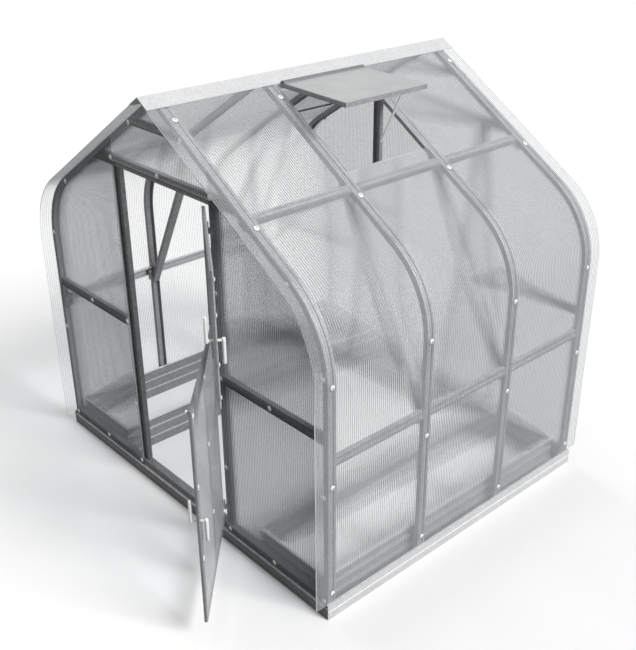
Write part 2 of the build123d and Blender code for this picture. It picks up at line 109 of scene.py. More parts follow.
# Washers: runs up an arch, (reach, height) on a gable, heights on a post, (along, height) on a leaf
ARCH_WASHERS = [("wall", 0.141), ("wall", 0.763), ("wall", 1.289), ("roof", 0.720), ("roof", 0.145)]
GABLE_WASHERS = [
    (1.178, 0.093), (0.803, 0.093), (0.432, 0.093), (1.178, 0.710), (1.178, 1.330), (0.951, 1.697),
    (0.217, 2.171), (0.805, 1.017), (0.423, 1.952),
]
HEADER_WASHER = 1.952
POST_WASHER_REACH = 0.428
POST_WASHERS = (0.487, 1.017, 1.480)
UPPER_LEAF_ROWS = (1.325, 1.480, 1.705, 1.862)
LEAF_WASHERS = {
    "lower": [(LATCH_REACH, 0.481), (LATCH_REACH, 0.875), (LATCH_REACH, 1.239),
              (LEAF_BAR, 0.453), (LEAF_BAR, 0.847), (LEAF_BAR, 1.211)],
    "upper": [(along, height) for height in UPPER_LEAF_ROWS for along in (LATCH_REACH, LEAF_BAR)],
}

# Latch lever as (station, half across, half through), its spindle, and the knob as (station, radius)
LEVER = [
    (-0.0110, 0.0055, 0.0050), (-0.0095, 0.0085, 0.0076), (-0.0040, 0.0104, 0.0088),
    (0.0060, 0.0104, 0.0090), (0.0200, 0.0094, 0.0088), (0.0600, 0.0088, 0.0084),
    (0.1020, 0.0086, 0.0082), (0.1080, 0.0074, 0.0070), (0.1100, 0.0046, 0.0042),
]
LEVER_SIDES = 14
OUTER_LEVER_SEAT = 0.005
INNER_LEVER_SEAT = 0.0015
SPINDLE_START = LEAF_OUTER - 0.030
SPINDLE_END = LEAF_INNER + 0.030
SPINDLE_RADIUS = 0.006
SPINDLE_INSET = 0.002
ROUND_SIDES = 16
KNOB = [
    (0.0, 0.0050), (0.003, 0.0050), (0.004, 0.0080), (0.007, 0.0094), (0.012, 0.0094), (0.015, 0.0078),
    (0.017, 0.0036),
]
KNOB_DROP = 0.014

# Joint plates under the purlins, clips at the roof purlins' ends and bolts
PLATE_DEPTH = SHEET + FRAME_DEPTH
PLATE_WALL = 0.003
PLATE_REACH = 0.030
ROOF_PLATE = (("roof", PURLIN_REACH + 0.034), ("roof", PURLIN_REACH - 0.026))
WALL_PLATE = (("wall", 0.838), ("wall", 0.916))
PLATE_BOLTS = (("roof", PURLIN_REACH), ("wall", 0.8925))
BOLT_REACH = 0.016
CLIP_TOP = 0.623
CLIP_FOOT = 0.668
CLIP_DROP = 0.019
CLIP_WALL = 0.003
CLIP_OUTER = 0.0005
CLIP_INNER = 0.049
STRAP_INSET = 0.110
STRAP_BOLTS = (0.008, 0.022)

# Bead over the vent's hinge: half length, place from the rod and outline as (along, rise)
BEAD_HALF = 0.279
BEAD_ALONG = 0.010
BEAD_RISE = 0.018
BEAD = [
    (0.0, 0.0), (0.002, 0.006), (0.007, 0.0095), (0.014, 0.0105), (0.021, 0.0095), (0.026, 0.006), (0.028, 0.0),
]

# Camera, and the light and floor of the studio
CAMERA_PLACE = (3.818, -2.392, 3.397)
CAMERA_AZIMUTH = math.radians(48.192)
CAMERA_ELEVATION = math.radians(26.886)
CAMERA_ROLL = math.radians(-0.430)
CAMERA_LENS = 53.33
CAMERA_SENSOR = 36.0
CAMERA_FAR = 200.0
WORLD_DIM = 0.17
FLOOR_LOW = 0.22
FLOOR_PALE = 0.86
FLOOR_HALF = 40.0
FLOOR_HEIGHT = -0.0005
LAMPS = [
    ("key", 3.2, 25.0, (0.75, 0.22, 0.62)),
    ("top", 0.8, 60.0, (0.0, -0.1, 1.0)),
    ("fill", 1.5, 30.0, (-0.95, 0.05, 0.30)),
]


def skin_point(run, depth):
    """Point (x, z) under the skin of the right side, and the direction outwards.

    A run is ("wall", height), ("bend", angle) or ("roof", reach from the middle).
    """
    kind, value = run
    if kind == "wall":
        return (HALF_WIDTH - depth, value), (1.0, 0.0)
    if kind == "bend":
        radius = EAVE_RADIUS - depth
        outward = (math.cos(value), math.sin(value))
        return (BEND_REACH + radius * outward[0], BEND_HEIGHT + radius * outward[1]), outward
    height = APEX - depth / math.cos(PITCH) - value * SLOPE
    return (value, height), (math.sin(PITCH), math.cos(PITCH))


def gable_top(x, depth):
    """Height of the skin over a place across the gable."""
    x = abs(x)
    radius = EAVE_RADIUS - depth
    if x > BEND_REACH + radius * math.sin(PITCH):
        return BEND_HEIGHT + math.sqrt(max(radius * radius - (x - BEND_REACH) ** 2, 0.0))
    return APEX - depth / math.cos(PITCH) - x * SLOPE


def skin_runs(foot, crown, steps):
    """Runs up the right side, from a foot height over the bend to a reach near the ridge."""
    bend = [("bend", EAVE_TURN * i / steps) for i in range(steps + 1)]
    return [("wall", foot), *bend, ("roof", crown)]


def leaf_point(angle, along, height, inwards):
    """Point on an open leaf: along it from the hinge axis, up and inwards through it."""
    out = Vector((-math.cos(angle), -math.sin(angle), 0.0))
    inner = Vector((-math.sin(angle), math.cos(angle), 0.0))
    return HINGE + along * out + inwards * inner + Vector((0, 0, height))


# Node helpers


def bare_tree(owner, output):
    """Emptied node tree of a material or world, with its output node."""
    owner.use_nodes = True
    tree = owner.node_tree
    tree.nodes.clear()
    return tree, tree.nodes.new(output)


def material(name):
    """New node material with its Principled shader and output."""
    mat = bpy.data.materials.new(name)
    tree, output = bare_tree(mat, "ShaderNodeOutputMaterial")
    shader = tree.nodes.new("ShaderNodeBsdfPrincipled")
    tree.links.new(shader.outputs["BSDF"], output.inputs["Surface"])
    return mat, tree, shader, output


def node(tree, kind, inputs=None, **settings):
    """New node with settings and plain or linked inputs."""
    made = tree.nodes.new(kind)
    for key, value in settings.items():
        setattr(made, key, value)
    for key, value in (inputs or {}).items():
        if isinstance(value, bpy.types.NodeSocket):
            tree.links.new(value, made.inputs[key])
        else:
            made.inputs[key].default_value = value
    return made


def maths(tree, operation, *values, **settings):
    """Result of a maths node on plain or linked values."""
    return node(tree, "ShaderNodeMath", dict(enumerate(values)), operation=operation, **settings).outputs[0]


def vectors(tree, operation, inputs, result="Vector"):
    """Result of a vector maths node."""
    return node(tree, "ShaderNodeVectorMath", inputs, operation=operation).outputs[result]


def noise(tree, place, scale, detail, roughness=0.5):
    """Noise value over a place."""
    made = node(tree, "ShaderNodeTexNoise", {
        "Vector": place, "Scale": scale, "Detail": detail, "Roughness": roughness,
    })
    return made.outputs["Fac"]


def ramp(tree, source, stops):
    """Colour ramp of grey or coloured stops."""
    made = node(tree, "ShaderNodeValToRGB", {"Fac": source})
    elements = made.color_ramp.elements
    while len(elements) < len(stops):
        elements.new(0.5)
    for element, (place, colour) in zip(elements, stops):
        element.position = place
        element.color = (*colour, 1.0)
    return made.outputs["Color"]


def mottled(tree, source, colour, darker):
    """Colour that a noise darkens in patches."""
    return ramp(tree, source, [(0.3, [c * darker for c in colour]), (0.7, colour)])


def grained(tree, shader, place, scale, detail, strength, distance):
    """Fine relief on a shader."""
    grain = noise(tree, place, scale, detail)
    relief = node(tree, "ShaderNodeBump", {"Strength": strength, "Distance": distance, "Height": grain})
    tree.links.new(relief.outputs["Normal"], shader.inputs["Normal"])


def mix_shaders(tree, share, first, second):
    """Mix of two shaders, with the share of the second."""
    return node(tree, "ShaderNodeMixShader", {"Fac": share, 1: first, 2: second}).outputs["Shader"]


# Finishes


def with_painted_highlights(tree, place, colour, axis, first, pitch, inside, outside, gains):
    """Colour with painted highlights: a gain on bands at an even pitch along an axis."""
    along = node(tree, "ShaderNodeSeparateXYZ", {"Vector": place}).outputs[axis]
    aside = maths(tree, "PINGPONG", maths(tree, "SUBTRACT", along, first), pitch / 2)
    band = node(tree, "ShaderNodeMapRange", {
        "Value": aside, "From Min": inside, "From Max": outside, "To Min": gains[0], "To Max": gains[1],
    })
    return vectors(tree, "SCALE", {0: colour, "Scale": band.outputs["Result"]})


def galvanised(name, dark, light, spangle, rough, metal=0.10, painted_highlights=None):
    """Zinc coated steel: spangle of flat crystals and dull patches.

    Painted highlights are lighter bands where light would fall, each (axis, first, pitch, half width at full
    gain, half width at no gain, gains).
    """
    mat, tree, shader, _ = material(name)
    place = node(tree, "ShaderNodeTexCoord").outputs["Object"]
    crystal = node(tree, "ShaderNodeTexVoronoi", {"Vector": place, "Scale": spangle, "Randomness": 1.0})
    patch = noise(tree, place, scale=6.0, detail=5.0, roughness=0.6)
    grey = node(tree, "ShaderNodeSeparateColor", {"Color": crystal.outputs["Color"]}).outputs["Red"]
    mixed = maths(tree, "MULTIPLY_ADD", patch, 0.55, maths(tree, "MULTIPLY", grey, 0.55))
    colour = ramp(tree, mixed, [(0.15, dark), (0.85, light)])
    # Painted highlights: bands of lighter colour on the steel
    if painted_highlights:
        colour = with_painted_highlights(tree, place, colour, *painted_highlights)
    tree.links.new(colour, shader.inputs["Base Color"])
    dull = node(tree, "ShaderNodeMapRange", {"Value": mixed, "To Min": rough - 0.08, "To Max": rough + 0.10})
    tree.links.new(dull.outputs["Result"], shader.inputs["Roughness"])
    grained(tree, shader, place, scale=220.0, detail=2.0, strength=0.12, distance=0.0006)
    shader.inputs["Metallic"].default_value = metal
    shader.inputs["Specular IOR Level"].default_value = 0.25
    return mat


def moulded(name, colour, rough):
    """Moulded plastic with a faint orange peel and slight mottling."""
    mat, tree, shader, _ = material(name)
    place = node(tree, "ShaderNodeTexCoord").outputs["Object"]
    shade = mottled(tree, noise(tree, place, scale=60.0, detail=3.0), colour, 0.93)
    tree.links.new(shade, shader.inputs["Base Color"])
    grained(tree, shader, place, scale=900.0, detail=1.0, strength=0.1, distance=0.0003)
    shader.inputs["Roughness"].default_value = rough
    return mat


def let_light_through(tree, shown, output, tint):
    """Lamps and bounced light pass straight through; sight gets the shader given."""
    path = node(tree, "ShaderNodeLightPath")
    clear = node(tree, "ShaderNodeBsdfTransparent", {"Color": (*tint, 1.0)}).outputs["BSDF"]
    for ray in ("Is Diffuse Ray", "Is Shadow Ray"):
        shown = mix_shaders(tree, path.outputs[ray], shown, clear)
    tree.links.new(shown, output.inputs["Surface"])


def clear_sheet(name, body, film, across, start, gloss, tint):
    """Clear fluted plastic: each flute bends the view a little across it, under a thin haze with a gloss."""
    mat, tree, haze, output = material(name)
    place = node(tree, "ShaderNodeTexCoord").outputs["Object"]
    cloud = noise(tree, place, scale=3.0, detail=4.0, roughness=0.65)
    tree.links.new(mottled(tree, cloud, body, 0.95), haze.inputs["Base Color"])
    haze.inputs["Roughness"].default_value = 0.22
    haze.inputs["IOR"].default_value = 1.58
    amount = node(tree, "ShaderNodeMapRange", {
        "Value": cloud, "From Min": 0.3, "From Max": 0.7, "To Min": film * 0.85, "To Max": film * 1.15,
    })
    edge = node(tree, "ShaderNodeFresnel", {"IOR": gloss})
    total = maths(tree, "ADD", amount.outputs["Result"], edge.outputs["Fac"], use_clamp=True)
    along = vectors(tree, "DOT_PRODUCT", {0: place, 1: across}, "Value")
    turns = 2 * math.pi / FLUTE_PITCH
    wave = maths(tree, "SINE", maths(tree, "MULTIPLY_ADD", along, turns, -turns * start))
    surface = node(tree, "ShaderNodeNewGeometry")
    entry = maths(tree, "MULTIPLY_ADD", surface.outputs["Backfacing"], -FLUTE_LEAN, FLUTE_LEAN)
    aside = vectors(tree, "SCALE", {0: across, "Scale": maths(tree, "MULTIPLY", wave, entry)})
    tilted = vectors(tree, "ADD", {0: surface.outputs["Normal"], 1: aside})
    bend = node(tree, "ShaderNodeBsdfRefraction", {
        "Color": (*tint, 1.0), "Roughness": 0.0, "IOR": 1.15, "Normal": vectors(tree, "NORMALIZE", {0: tilted}),
    })
    shown = mix_shaders(tree, total, bend.outputs["BSDF"], haze.outputs["BSDF"])
    let_light_through(tree, shown, output, (0.94, 0.945, 0.95))
    return mat


def clear_rib(name, body, film):
    """Thin wall between two flutes: pale and partly see-through."""
    mat, tree, wall, output = material(name)
    place = node(tree, "ShaderNodeTexCoord").outputs["Object"]
    shade = mottled(tree, noise(tree, place, scale=8.0, detail=3.0), body, 0.93)
    tree.links.new(shade, wall.inputs["Base Color"])
    wall.inputs["Roughness"].default_value = 0.35
    clear = node(tree, "ShaderNodeBsdfTransparent", {"Color": (0.97, 0.975, 0.98, 1.0)})
    shown = mix_shaders(tree, film, clear.outputs["BSDF"], wall.outputs["BSDF"])
    let_light_through(tree, shown, output, (0.96, 0.965, 0.97))
    return mat


# Painted highlight: the arches' lips lighter than the groove between them, as lit lips beside a shaded groove
PAINTED_LIP_HIGHLIGHT = ("Y", ARCHES[0], ARCH_PITCH, 0.013, 0.016, (1.0, 1.15))
# Painted highlight: a bright line along the end sills' up-facing ledge, where top light would catch it
PAINTED_LEDGE_HIGHLIGHT = ("Z", END_FOOT - 0.0015, 0.4, 0.002, 0.0035, (3.2, 1.0))
# Painted highlight: bright lines along the beds' beads, where light would catch them
PAINTED_BEAD_HIGHLIGHTS = ("Z", 0.064, 0.067, 0.004, 0.007, (2.1, 1.0))
FRAME_STEEL = galvanised("galvanised_frame", (0.27, 0.272, 0.28), (0.40, 0.403, 0.41), 90.0, 0.50)
ARCH_STEEL = galvanised("galvanised_arch", (0.27, 0.272, 0.28), (0.39, 0.393, 0.40), 90.0, 0.50,
                        painted_highlights=PAINTED_LIP_HIGHLIGHT)
# Painted shade: a darker copy of the galvanised steel for the front gable's frame, which faces away from the
# key light
SHADED_GABLE_STEEL = galvanised("galvanised_gable_painted_shade", (0.09, 0.091, 0.094), (0.15, 0.152, 0.156), 90.0, 0.46)
# Painted light: a lighter copy of the galvanised steel for the left wall purlin, whose inner face the key light
# falls on
LIT_WALL_STEEL = galvanised("galvanised_wall_rail_painted_light", (0.46, 0.463, 0.47), (0.60, 0.603, 0.61), 90.0, 0.48)
# Painted shade: a darker copy of the galvanised steel for the joint plates, clips, vent hinge bead and door
# leaf frames, which sit in shade
SHADED_PLATE_STEEL = galvanised("galvanised_plate_painted_shade", (0.15, 0.152, 0.156), (0.23, 0.232, 0.236), 140.0, 0.50)
# Painted shade: a darker copy of the galvanised sill steel for the end sills, whose faces lie in shade, with a
# painted highlight on the ledge
SHADED_END_SILL_STEEL = galvanised("galvanised_threshold_painted_shade", (0.12, 0.121, 0.124), (0.19, 0.192, 0.196), 110.0, 0.46,
                             painted_highlights=PAINTED_LEDGE_HIGHLIGHT)
CAP_STEEL = galvanised("galvanised_cap", (0.50, 0.503, 0.51), (0.64, 0.643, 0.65), 160.0, 0.46)
SILL_STEEL = galvanised("galvanised_sill", (0.56, 0.563, 0.57), (0.70, 0.703, 0.71), 110.0, 0.48)
BED_STEEL = galvanised("galvanised_bed", (0.22, 0.222, 0.228), (0.31, 0.313, 0.32), 70.0, 0.52, painted_highlights=PAINTED_BEAD_HIGHLIGHTS)
HINGE_STEEL = galvanised("zinc_hinge", (0.50, 0.50, 0.50), (0.62, 0.62, 0.61), 300.0, 0.36, metal=0.35)
STAY_STEEL = galvanised("zinc_stay", (0.80, 0.80, 0.80), (0.90, 0.90, 0.895), 300.0, 0.40)
WHITE_MOULDED = moulded("white_moulded", (0.94, 0.94, 0.935), 0.42)
WASHER_WHITE = moulded("white_washer", (0.93, 0.93, 0.925), 0.38)
SKIN = (0.90, 0.915, 0.92)
VENT_BODY = (0.47, 0.476, 0.48)
SIDE_TINT = (0.994, 0.996, 0.996)
GABLE_TINT = (0.745, 0.75, 0.753)
ALONG_SIDE = (0.0, 1.0, 0.0)
ALONG_GABLE = (1.0, 0.0, 0.0)
SIDE_SKIN = clear_sheet("clear_side_skin", SKIN, 0.08, ALONG_SIDE, -OVERHANG, 1.2, SIDE_TINT)
VENT_SKIN = clear_sheet("clear_vent_skin", VENT_BODY, 0.54, ALONG_SIDE, -OVERHANG, 1.15, GABLE_TINT)
TOP_SKIN = clear_sheet("clear_top_skin", SKIN, 0.12, ALONG_GABLE, 0.0, 1.15, SIDE_TINT)
GABLE_SKIN = clear_sheet("clear_gable_skin", SKIN, 0.035, ALONG_GABLE, 0.0, 1.12, GABLE_TINT)
LEAF_SKIN = {}
for leaf, (_, _, angle) in LEAVES.items():
    along_leaf = (-math.cos(angle), -math.sin(angle), 0.0)
    LEAF_SKIN[leaf] = clear_sheet(f"clear_{leaf}_leaf_skin", SKIN, 0.035, along_leaf, 0.0, 1.12, GABLE_TINT)
RIGHT_RIB = clear_rib("clear_right_rib", SKIN, 0.28)
LEFT_RIB = clear_rib("clear_left_rib", SKIN, 0.13)
GABLE_RIB = clear_rib("clear_gable_rib", SKIN, 0.22)


def dress(mat, *names):
    """Give CAD nodes their finish."""
    for name in names:
        for held in nodes[name].material_slots:
            held.material = mat
        if not nodes[name].material_slots:
            nodes[name].data.materials.append(mat)


dress(ARCH_STEEL, "front_arch", "second_arch", "third_arch", "back_arch")
dress(FRAME_STEEL, "left_roof_purlin", "right_roof_purlin", "right_wall_purlin", "left_braces", "right_braces")
dress(FRAME_STEEL, "vent_frame", "back_header", "back_posts", "back_side_rails", "back_collar")
dress(SHADED_GABLE_STEEL, "front_header", "front_left_post", "front_right_post", "front_side_rails", "front_collar")
dress(SHADED_PLATE_STEEL, "lower_leaf_frame", "upper_leaf_frame")
dress(CAP_STEEL, "ridge_cap")
dress(LIT_WALL_STEEL, "left_wall_purlin")
dress(SILL_STEEL, "left_sill", "right_sill")
dress(SHADED_END_SILL_STEEL, "front_sill", "back_sill")
dress(BED_STEEL, "left_bed", "right_bed")
dress(HINGE_STEEL, "door_hinge_pins", "lower_leaf_hinges", "upper_leaf_hinges", "vent_hinge")
dress(STAY_STEEL, "vent_stay")
dress(GABLE_SKIN, "front_left_sheet", "front_right_sheet", "back_sheet")
dress(TOP_SKIN, "front_top_sheet")
dress(VENT_SKIN, "vent_sheet")
dress(LEAF_SKIN["lower"], "lower_leaf_sheet")
dress(LEAF_SKIN["upper"], "upper_leaf_sheet")


# Mesh helpers


def put(mesh, body):
    """Link a finished mesh as a piece of its own name that rides on a body."""
    piece = bpy.data.objects.new(mesh.name, mesh)
    bpy.context.scene.collection.objects.link(piece)
    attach(piece, body)
    return piece


def mesh_of(name, verts, faces, mats, smooth=False):
    """Plain mesh with outward faces."""
    mesh = bpy.data.meshes.new(name)
    mesh.from_pydata([tuple(v) for v in verts], [], faces)
    built = bmesh.new()
    built.from_mesh(mesh)
    bmesh.ops.recalc_face_normals(built, faces=built.faces)
    built.to_mesh(mesh)
    built.free()
    for mat in mats:
        mesh.materials.append(mat)
    for face in mesh.polygons:
        face.use_smooth = smooth
    return mesh


def several(name, shapes, mat):
    """Several closed bodies as one smooth mesh."""
    verts, faces = [], []
    for more_verts, more_faces in shapes:
        faces += [tuple(len(verts) + v for v in face) for face in more_faces]
        verts += more_verts
    mesh = mesh_of(name, verts, faces, [mat], smooth=True)
    mesh.set_sharp_from_angle(angle=math.radians(50.0))
    return mesh


def merged(name, meshes, mats):
    """Several meshes with the same finishes as one."""
    built = bmesh.new()
    for mesh in meshes:
        built.from_mesh(mesh)
    mesh = bpy.data.meshes.new(name)
    built.to_mesh(mesh)
    built.free()
    for mat in mats:
        mesh.materials.append(mat)
    return mesh


def points_mesh(name, places, **attributes):
    """Loose points with named attributes."""
    mesh = bpy.data.meshes.new(name)
    mesh.from_pydata([tuple(p) for p in places], [], [])
    for label, values in attributes.items():
        vector = hasattr(values[0], "__len__")
        held = mesh.attributes.new(label, "FLOAT_VECTOR" if vector else "FLOAT", "POINT")
        for i, value in enumerate(values):
            if vector:
                held.data[i].vector = value
            else:
                held.data[i].value = value
    return mesh


# Geometry Nodes helpers


def grown_tree(name, inputs):
    """Geometry Nodes tree with named inputs; returns it with its input and output nodes."""
    tree = bpy.data.node_groups.new(name, "GeometryNodeTree")
    tree.interface.new_socket("Geometry", in_out="INPUT", socket_type="NodeSocketGeometry")
    for label, kind, value in inputs:
        made = tree.interface.new_socket(label, in_out="INPUT", socket_type=kind)
        if value is not None:
            made.default_value = value
    tree.interface.new_socket("Geometry", in_out="OUTPUT", socket_type="NodeSocketGeometry")
    return tree, tree.nodes.new("NodeGroupInput"), tree.nodes.new("NodeGroupOutput")


def grow(name, mesh, tree, values):
    """Run a tree on a mesh and return the result as a plain mesh."""
    seed = bpy.data.objects.new(name + "_seed", mesh)
    bpy.context.scene.collection.objects.link(seed)
    modifier = seed.modifiers.new("grow", "NODES")
    modifier.node_group = tree
    for item in tree.interface.items_tree:
        if item.in_out == "INPUT" and item.name in values:
            modifier[item.identifier] = values[item.name]
    evaluated = seed.evaluated_get(bpy.context.evaluated_depsgraph_get())
    plain = bpy.data.meshes.new_from_object(evaluated)
    plain.name = name
    seed.modifiers.remove(modifier)
    bpy.data.objects.remove(seed)
    return plain


def attribute(tree, name, kind):
    """Value of a named attribute."""
    return node(tree, "GeometryNodeInputNamedAttribute", {"Name": name}, data_type=kind).outputs["Attribute"]


def realised(tree, inputs):
    """Instances on points, made real."""
    placed = node(tree, "GeometryNodeInstanceOnPoints", inputs)
    real = node(tree, "GeometryNodeRealizeInstances", {"Geometry": placed.outputs["Instances"]})
    return real.outputs["Geometry"]


def finished(tree, geometry, finish):
    """Geometry with its finish."""
    return node(tree, "GeometryNodeSetMaterial", {"Geometry": geometry, "Material": finish}).outputs["Geometry"]


def row_tree():
    """One rib repeated along the building at an even pitch."""
    tree, given, result = grown_tree("rib_row", [
        ("Rib count", "NodeSocketInt", 10),
        ("Rib pitch", "NodeSocketFloat", 0.01),
        ("Finish", "NodeSocketMaterial", None),
    ])
    step = node(tree, "ShaderNodeCombineXYZ", {"Y": given.outputs["Rib pitch"]})
    line = node(tree, "GeometryNodeMeshLine", {
        "Count": given.outputs["Rib count"], "Offset": step.outputs["Vector"],
    })
    real = realised(tree, {"Points": line.outputs["Mesh"], "Instance": given.outputs["Geometry"]})
    tree.links.new(finished(tree, real, given.outputs["Finish"]), result.inputs["Geometry"])
    return tree


def upright_tree():
    """Upright ribs on points: each point holds its rib's rise and its turn about the vertical."""
    tree, given, result = grown_tree("upright_ribs", [
        ("Rib thickness", "NodeSocketFloat", 0.0005),
        ("Rib depth", "NodeSocketFloat", 0.005),
        ("Finish", "NodeSocketMaterial", None),
    ])
    cube = node(tree, "GeometryNodeMeshCube")
    lifted = node(tree, "GeometryNodeTransform", {
        "Geometry": cube.outputs["Mesh"], "Translation": (0.0, 0.0, 0.5),
    })
    size = node(tree, "ShaderNodeCombineXYZ", {
        "X": given.outputs["Rib thickness"], "Y": given.outputs["Rib depth"],
        "Z": attribute(tree, "rise", "FLOAT"),
    })
    angle = node(tree, "ShaderNodeCombineXYZ", {"Z": attribute(tree, "turn", "FLOAT")})
    real = realised(tree, {
        "Points": given.outputs["Geometry"], "Instance": lifted.outputs["Geometry"],
        "Rotation": angle.outputs["Vector"], "Scale": size.outputs["Vector"],
    })
    tree.links.new(finished(tree, real, given.outputs["Finish"]), result.inputs["Geometry"])
    return tree


def washer_tree():
    """Dished washer under a six-sided screw head, on each point and square to its facing direction."""
    tree, given, result = grown_tree("washer_and_screw", [
        ("Washer radius", "NodeSocketFloat", 0.010),
        ("Washer height", "NodeSocketFloat", 0.0025),
        ("Head radius", "NodeSocketFloat", 0.0045),
        ("Head height", "NodeSocketFloat", 0.003),
        ("Washer finish", "NodeSocketMaterial", None),
        ("Head finish", "NodeSocketMaterial", None),
    ])
    facing = attribute(tree, "facing", "FLOAT_VECTOR")
    square = node(tree, "FunctionNodeAlignRotationToVector", {"Vector": facing}, axis="Z")
    dish = node(tree, "GeometryNodeMeshCone", {
        "Vertices": DISH_SIDES, "Radius Top": maths(tree, "MULTIPLY", given.outputs["Washer radius"], DISH_RIM),
        "Radius Bottom": given.outputs["Washer radius"], "Depth": given.outputs["Washer height"],
    })
    dish = finished(tree, dish.outputs["Mesh"], given.outputs["Washer finish"])
    middle = maths(tree, "MULTIPLY_ADD", given.outputs["Head height"], 0.5, given.outputs["Washer height"])
    lift = node(tree, "ShaderNodeCombineXYZ", {"Z": middle})
    head = node(tree, "GeometryNodeMeshCylinder", {
        "Vertices": HEAD_SIDES, "Radius": given.outputs["Head radius"], "Depth": given.outputs["Head height"],
    })
    head = node(tree, "GeometryNodeTransform", {
        "Geometry": head.outputs["Mesh"], "Translation": lift.outputs["Vector"],
    })
    head = finished(tree, head.outputs["Geometry"], given.outputs["Head finish"])
    screw = tree.nodes.new("GeometryNodeJoinGeometry")
    for part in (head, dish):
        tree.links.new(part, screw.inputs["Geometry"])
    real = realised(tree, {
        "Points": given.outputs["Geometry"], "Instance": screw.outputs["Geometry"],
        "Rotation": square.outputs["Rotation"],
    })
    tree.links.new(real, result.inputs["Geometry"])
    return tree


ROW_TREE = row_tree()
UPRIGHT_TREE = upright_tree()
WASHER_TREE = washer_tree()

# Side sheets as smooth shells, bent over the eaves


def side_shell(name, side, hole):
    """Bent sheet as one closed shell; the right one leaves out the vent's hole."""
    runs = skin_runs(SIDE_FOOT, VENT_FOOT, SHELL_STEPS) + [("roof", VENT_TOP), ("roof", SHELL_CROWN)]
    places = [-OVERHANG, FRAME_MIDDLE - VENT_HALF, FRAME_MIDDLE + VENT_HALF, FRAME_LENGTH + OVERHANG]
    verts = []
    for run in runs:
        for place in places:
            for depth in (0.0, SHEET):
                (x, z), _ = skin_point(run, depth)
                verts.append((side * x, place, z))
    cells = {(i, j) for i in range(len(runs) - 1) for j in range(len(places) - 1)}
    if hole:
        cells.discard((len(runs) - 3, 1))
    row = 2 * len(places)
    faces = []
    for i, j in sorted(cells):
        ring = [(i, j), (i + 1, j), (i + 1, j + 1), (i, j + 1)]
        outer = [row * a + 2 * b for a, b in ring]
        faces += [tuple(outer), tuple(v + 1 for v in reversed(outer))]
        beyond = [(i, j - 1), (i + 1, j), (i, j + 1), (i - 1, j)]
        for k, cell in enumerate(beyond):
            if cell not in cells:
                a, b = outer[k], outer[(k + 1) % 4]
                faces.append((b, a, a + 1, b + 1))
    mesh = mesh_of(name, verts, faces, [SIDE_SKIN], smooth=True)
    mesh.set_sharp_from_angle(angle=math.radians(30.0))
    return mesh


for label, side in (("left", -1), ("right", 1)):
    shell = put(side_shell(f"{label}_bent_sheet", side, side > 0), "building")
    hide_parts(f"{label}_side_sheet")

# Flutes of the side sheets: ribs between the two skins, over wall, bend and slope


def side_rib(name, runs, side, place):
    """One rib along the skin of a side, as a closed strip."""
    verts, faces = [], []
    for run in runs:
        for depth in (RIB_INSET, SHEET - RIB_INSET):
            (x, z), _ = skin_point(run, depth)
            verts += [(side * x, place - RIB_THICK / 2, z), (side * x, place + RIB_THICK / 2, z)]
    for i in range(len(runs) - 1):
        a, b = 4 * i, 4 * (i + 1)
        faces += [(a + j, a + k, b + k, b + j) for j, k in ((0, 1), (1, 3), (3, 2), (2, 0))]
    faces += [(0, 2, 3, 1), tuple(4 * (len(runs) - 1) + i for i in (0, 1, 3, 2))]
    return mesh_of(name, verts, faces, [])


def side_ribs(name, side, runs, start, end):
    """Row of side ribs between two places along the building."""
    count = int((end - start) / FLUTE_PITCH) + 1
    finish = RIGHT_RIB if side > 0 else LEFT_RIB
    return grow(name, side_rib(name + "_one", runs, side, start), ROW_TREE,
                {"Rib count": count, "Rib pitch": FLUTE_PITCH, "Finish": finish})


first = -OVERHANG + END_GAP
last = FRAME_LENGTH + OVERHANG - END_GAP
whole_runs = skin_runs(SIDE_FOOT + RIB_INSET, RIB_CROWN, RIB_STEPS)
put(side_ribs("left_side_flutes", -1, whole_runs, first, last), "building")
hole_start = first + FLUTE_PITCH * math.ceil((FRAME_MIDDLE - VENT_HALF - first) / FLUTE_PITCH)
hole_end = first + FLUTE_PITCH * math.floor((FRAME_MIDDLE + VENT_HALF - first) / FLUTE_PITCH)
under_runs = skin_runs(SIDE_FOOT + RIB_INSET, VENT_FOOT + HOLE_GAP, RIB_STEPS)
over_runs = [("roof", VENT_TOP - HOLE_GAP), ("roof", RIB_CROWN)]
right_rows = [
    side_ribs("right_front_flutes", 1, whole_runs, first, hole_start - FLUTE_PITCH + ROUNDING),
    side_ribs("right_under_flutes", 1, under_runs, hole_start, hole_end + ROUNDING),
    side_ribs("right_over_flutes", 1, over_runs, hole_start, hole_end + ROUNDING),
    side_ribs("right_back_flutes", 1, whole_runs, hole_end + FLUTE_PITCH, last),
]
put(merged("right_side_flutes", right_rows, [RIGHT_RIB]), "building")

# Flutes of the gable sheets and of the door leaves stand upright


def upright_ribs(name, places, rises, turns):
    """Upright ribs at places with their rises and turns."""
    return grow(name, points_mesh(name + "_points", places, rise=rises, turn=turns), UPRIGHT_TREE,
                {"Rib thickness": RIB_THICK, "Rib depth": SHEET - 2 * RIB_INSET, "Finish": GABLE_RIB})


def gable_ribs(name, place, spans):
    """Ribs of the sheets in one gable plane; a span is (from, to, foot)."""
    places, rises = [], []
    for low, high, foot in spans:
        count = int((high - low) / FLUTE_PITCH)
        margin = ((high - low) - count * FLUTE_PITCH) / 2
        for i in range(count + 1):
            x = low + margin + i * FLUTE_PITCH
            places.append((x, place, foot + RIB_INSET))
            rises.append(gable_top(x, SHEET + END_GAP) - foot - 2 * RIB_INSET)
    return upright_ribs(name, places, rises, [0.0] * len(places))


